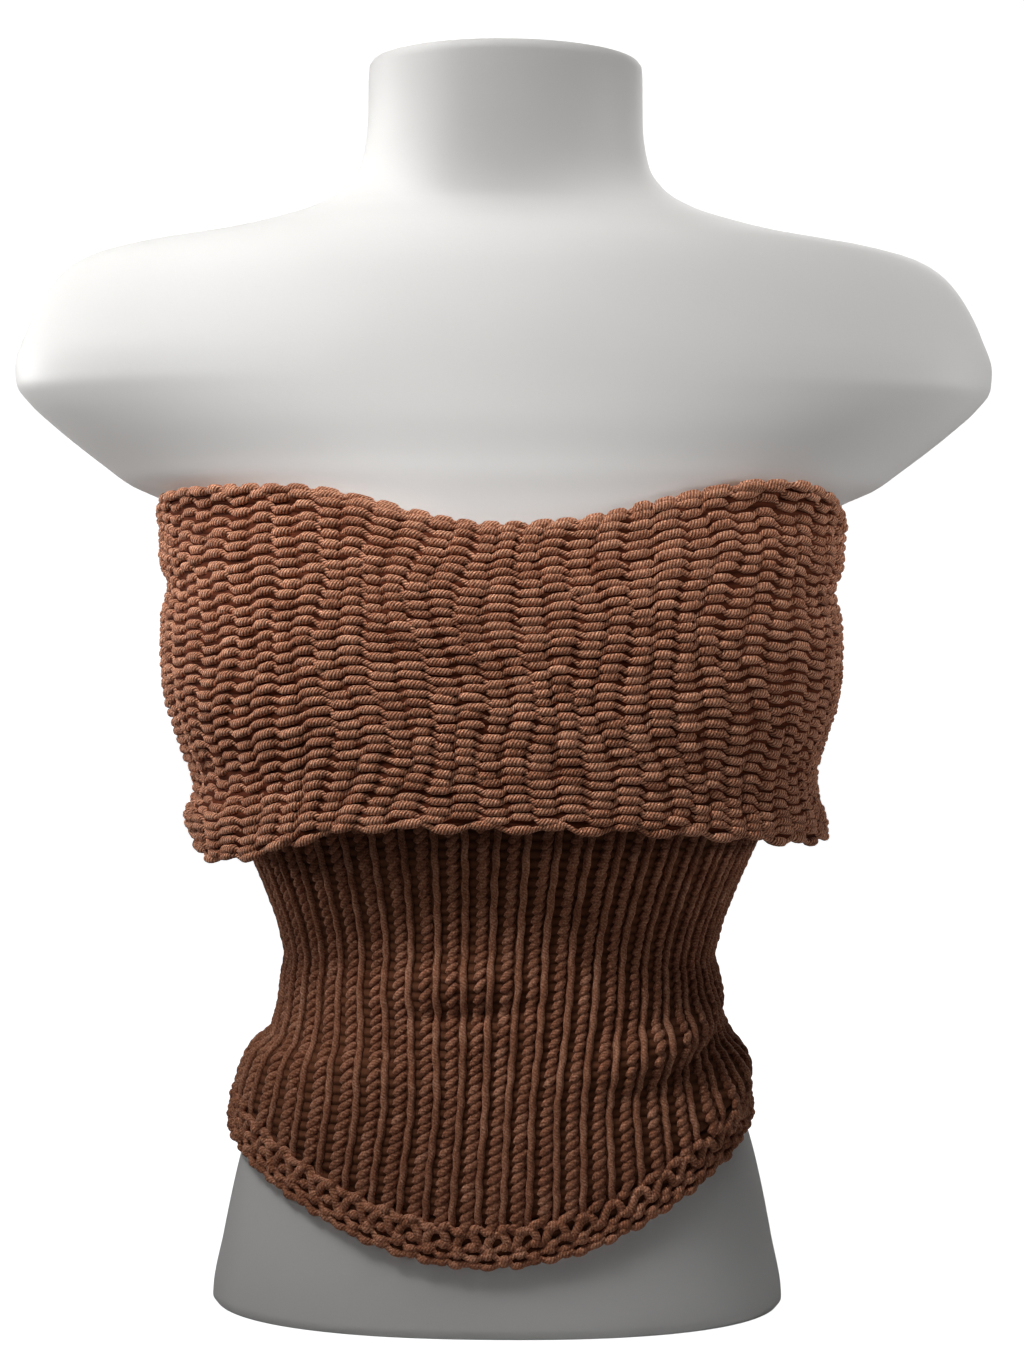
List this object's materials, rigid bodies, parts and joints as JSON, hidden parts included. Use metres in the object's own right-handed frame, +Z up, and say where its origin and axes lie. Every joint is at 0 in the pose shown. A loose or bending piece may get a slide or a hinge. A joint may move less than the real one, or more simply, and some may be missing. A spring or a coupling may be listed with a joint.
{
  "type": "knit tube top on a limbless torso display form",
  "caption": "Strapless knit tube top with its upper part folded outwards and a crocheted, curved hem, worn on a smooth limbless torso display form.",
  "frame": {"origin": "middle of the display form's flat base, which is also the bottom centre of the part's box", "axes": "+Z up through the neck, -Y to the front of the garment, +X to the right as seen from the front"},
  "size_m": [0.4524, 0.2155, 0.571],
  "materials": {
    "form": "smooth off-white moulded plastic",
    "yarn": "chunky plied brown yarn, knitted and crocheted, matte"
  },
  "bodies": {
    "root": {"torso_form": "form", "body_tube": "yarn", "fold_over_band": "yarn", "hem_band": "yarn"}
  },
  "joints": []
}
